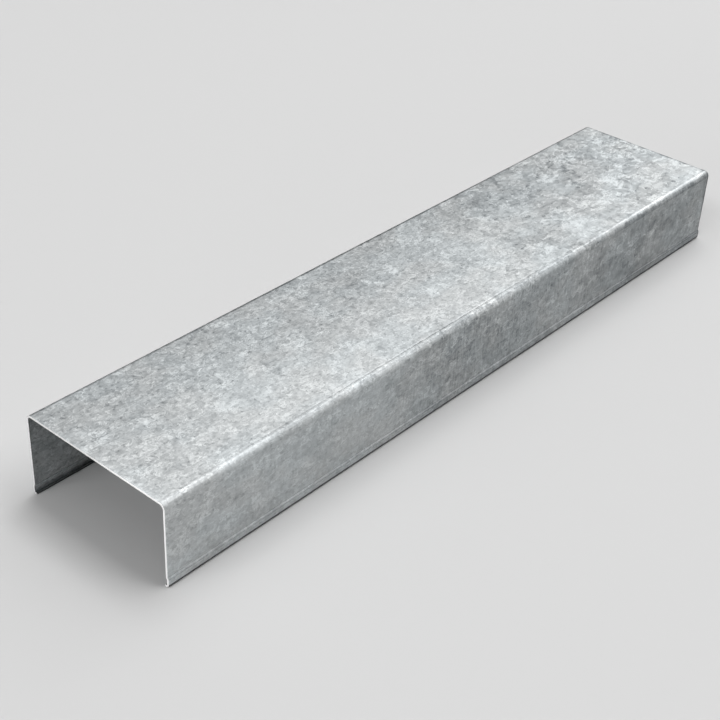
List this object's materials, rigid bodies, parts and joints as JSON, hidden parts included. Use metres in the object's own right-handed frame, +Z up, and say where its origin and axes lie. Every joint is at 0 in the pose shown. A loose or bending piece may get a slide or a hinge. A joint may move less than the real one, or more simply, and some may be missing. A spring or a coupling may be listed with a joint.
{
  "type": "drywall track",
  "caption": "Roll-formed galvanised steel channel with a flat web and two flanges, each stepped out and curled in along its foot, that holds the ends of wall studs.",
  "frame": {"origin": "on the floor, under the middle of the track, which lies with its web up", "axes": "+X along the track, +Y across it from one flange to the other, +Z up from the floor to the web"},
  "size_m": [0.34, 0.071, 0.035],
  "materials": {
    "galvanised_steel": "zinc coated, with fine spangle"
  },
  "bodies": {
    "root": {"track_channel": "galvanised_steel"}
  },
  "joints": []
}
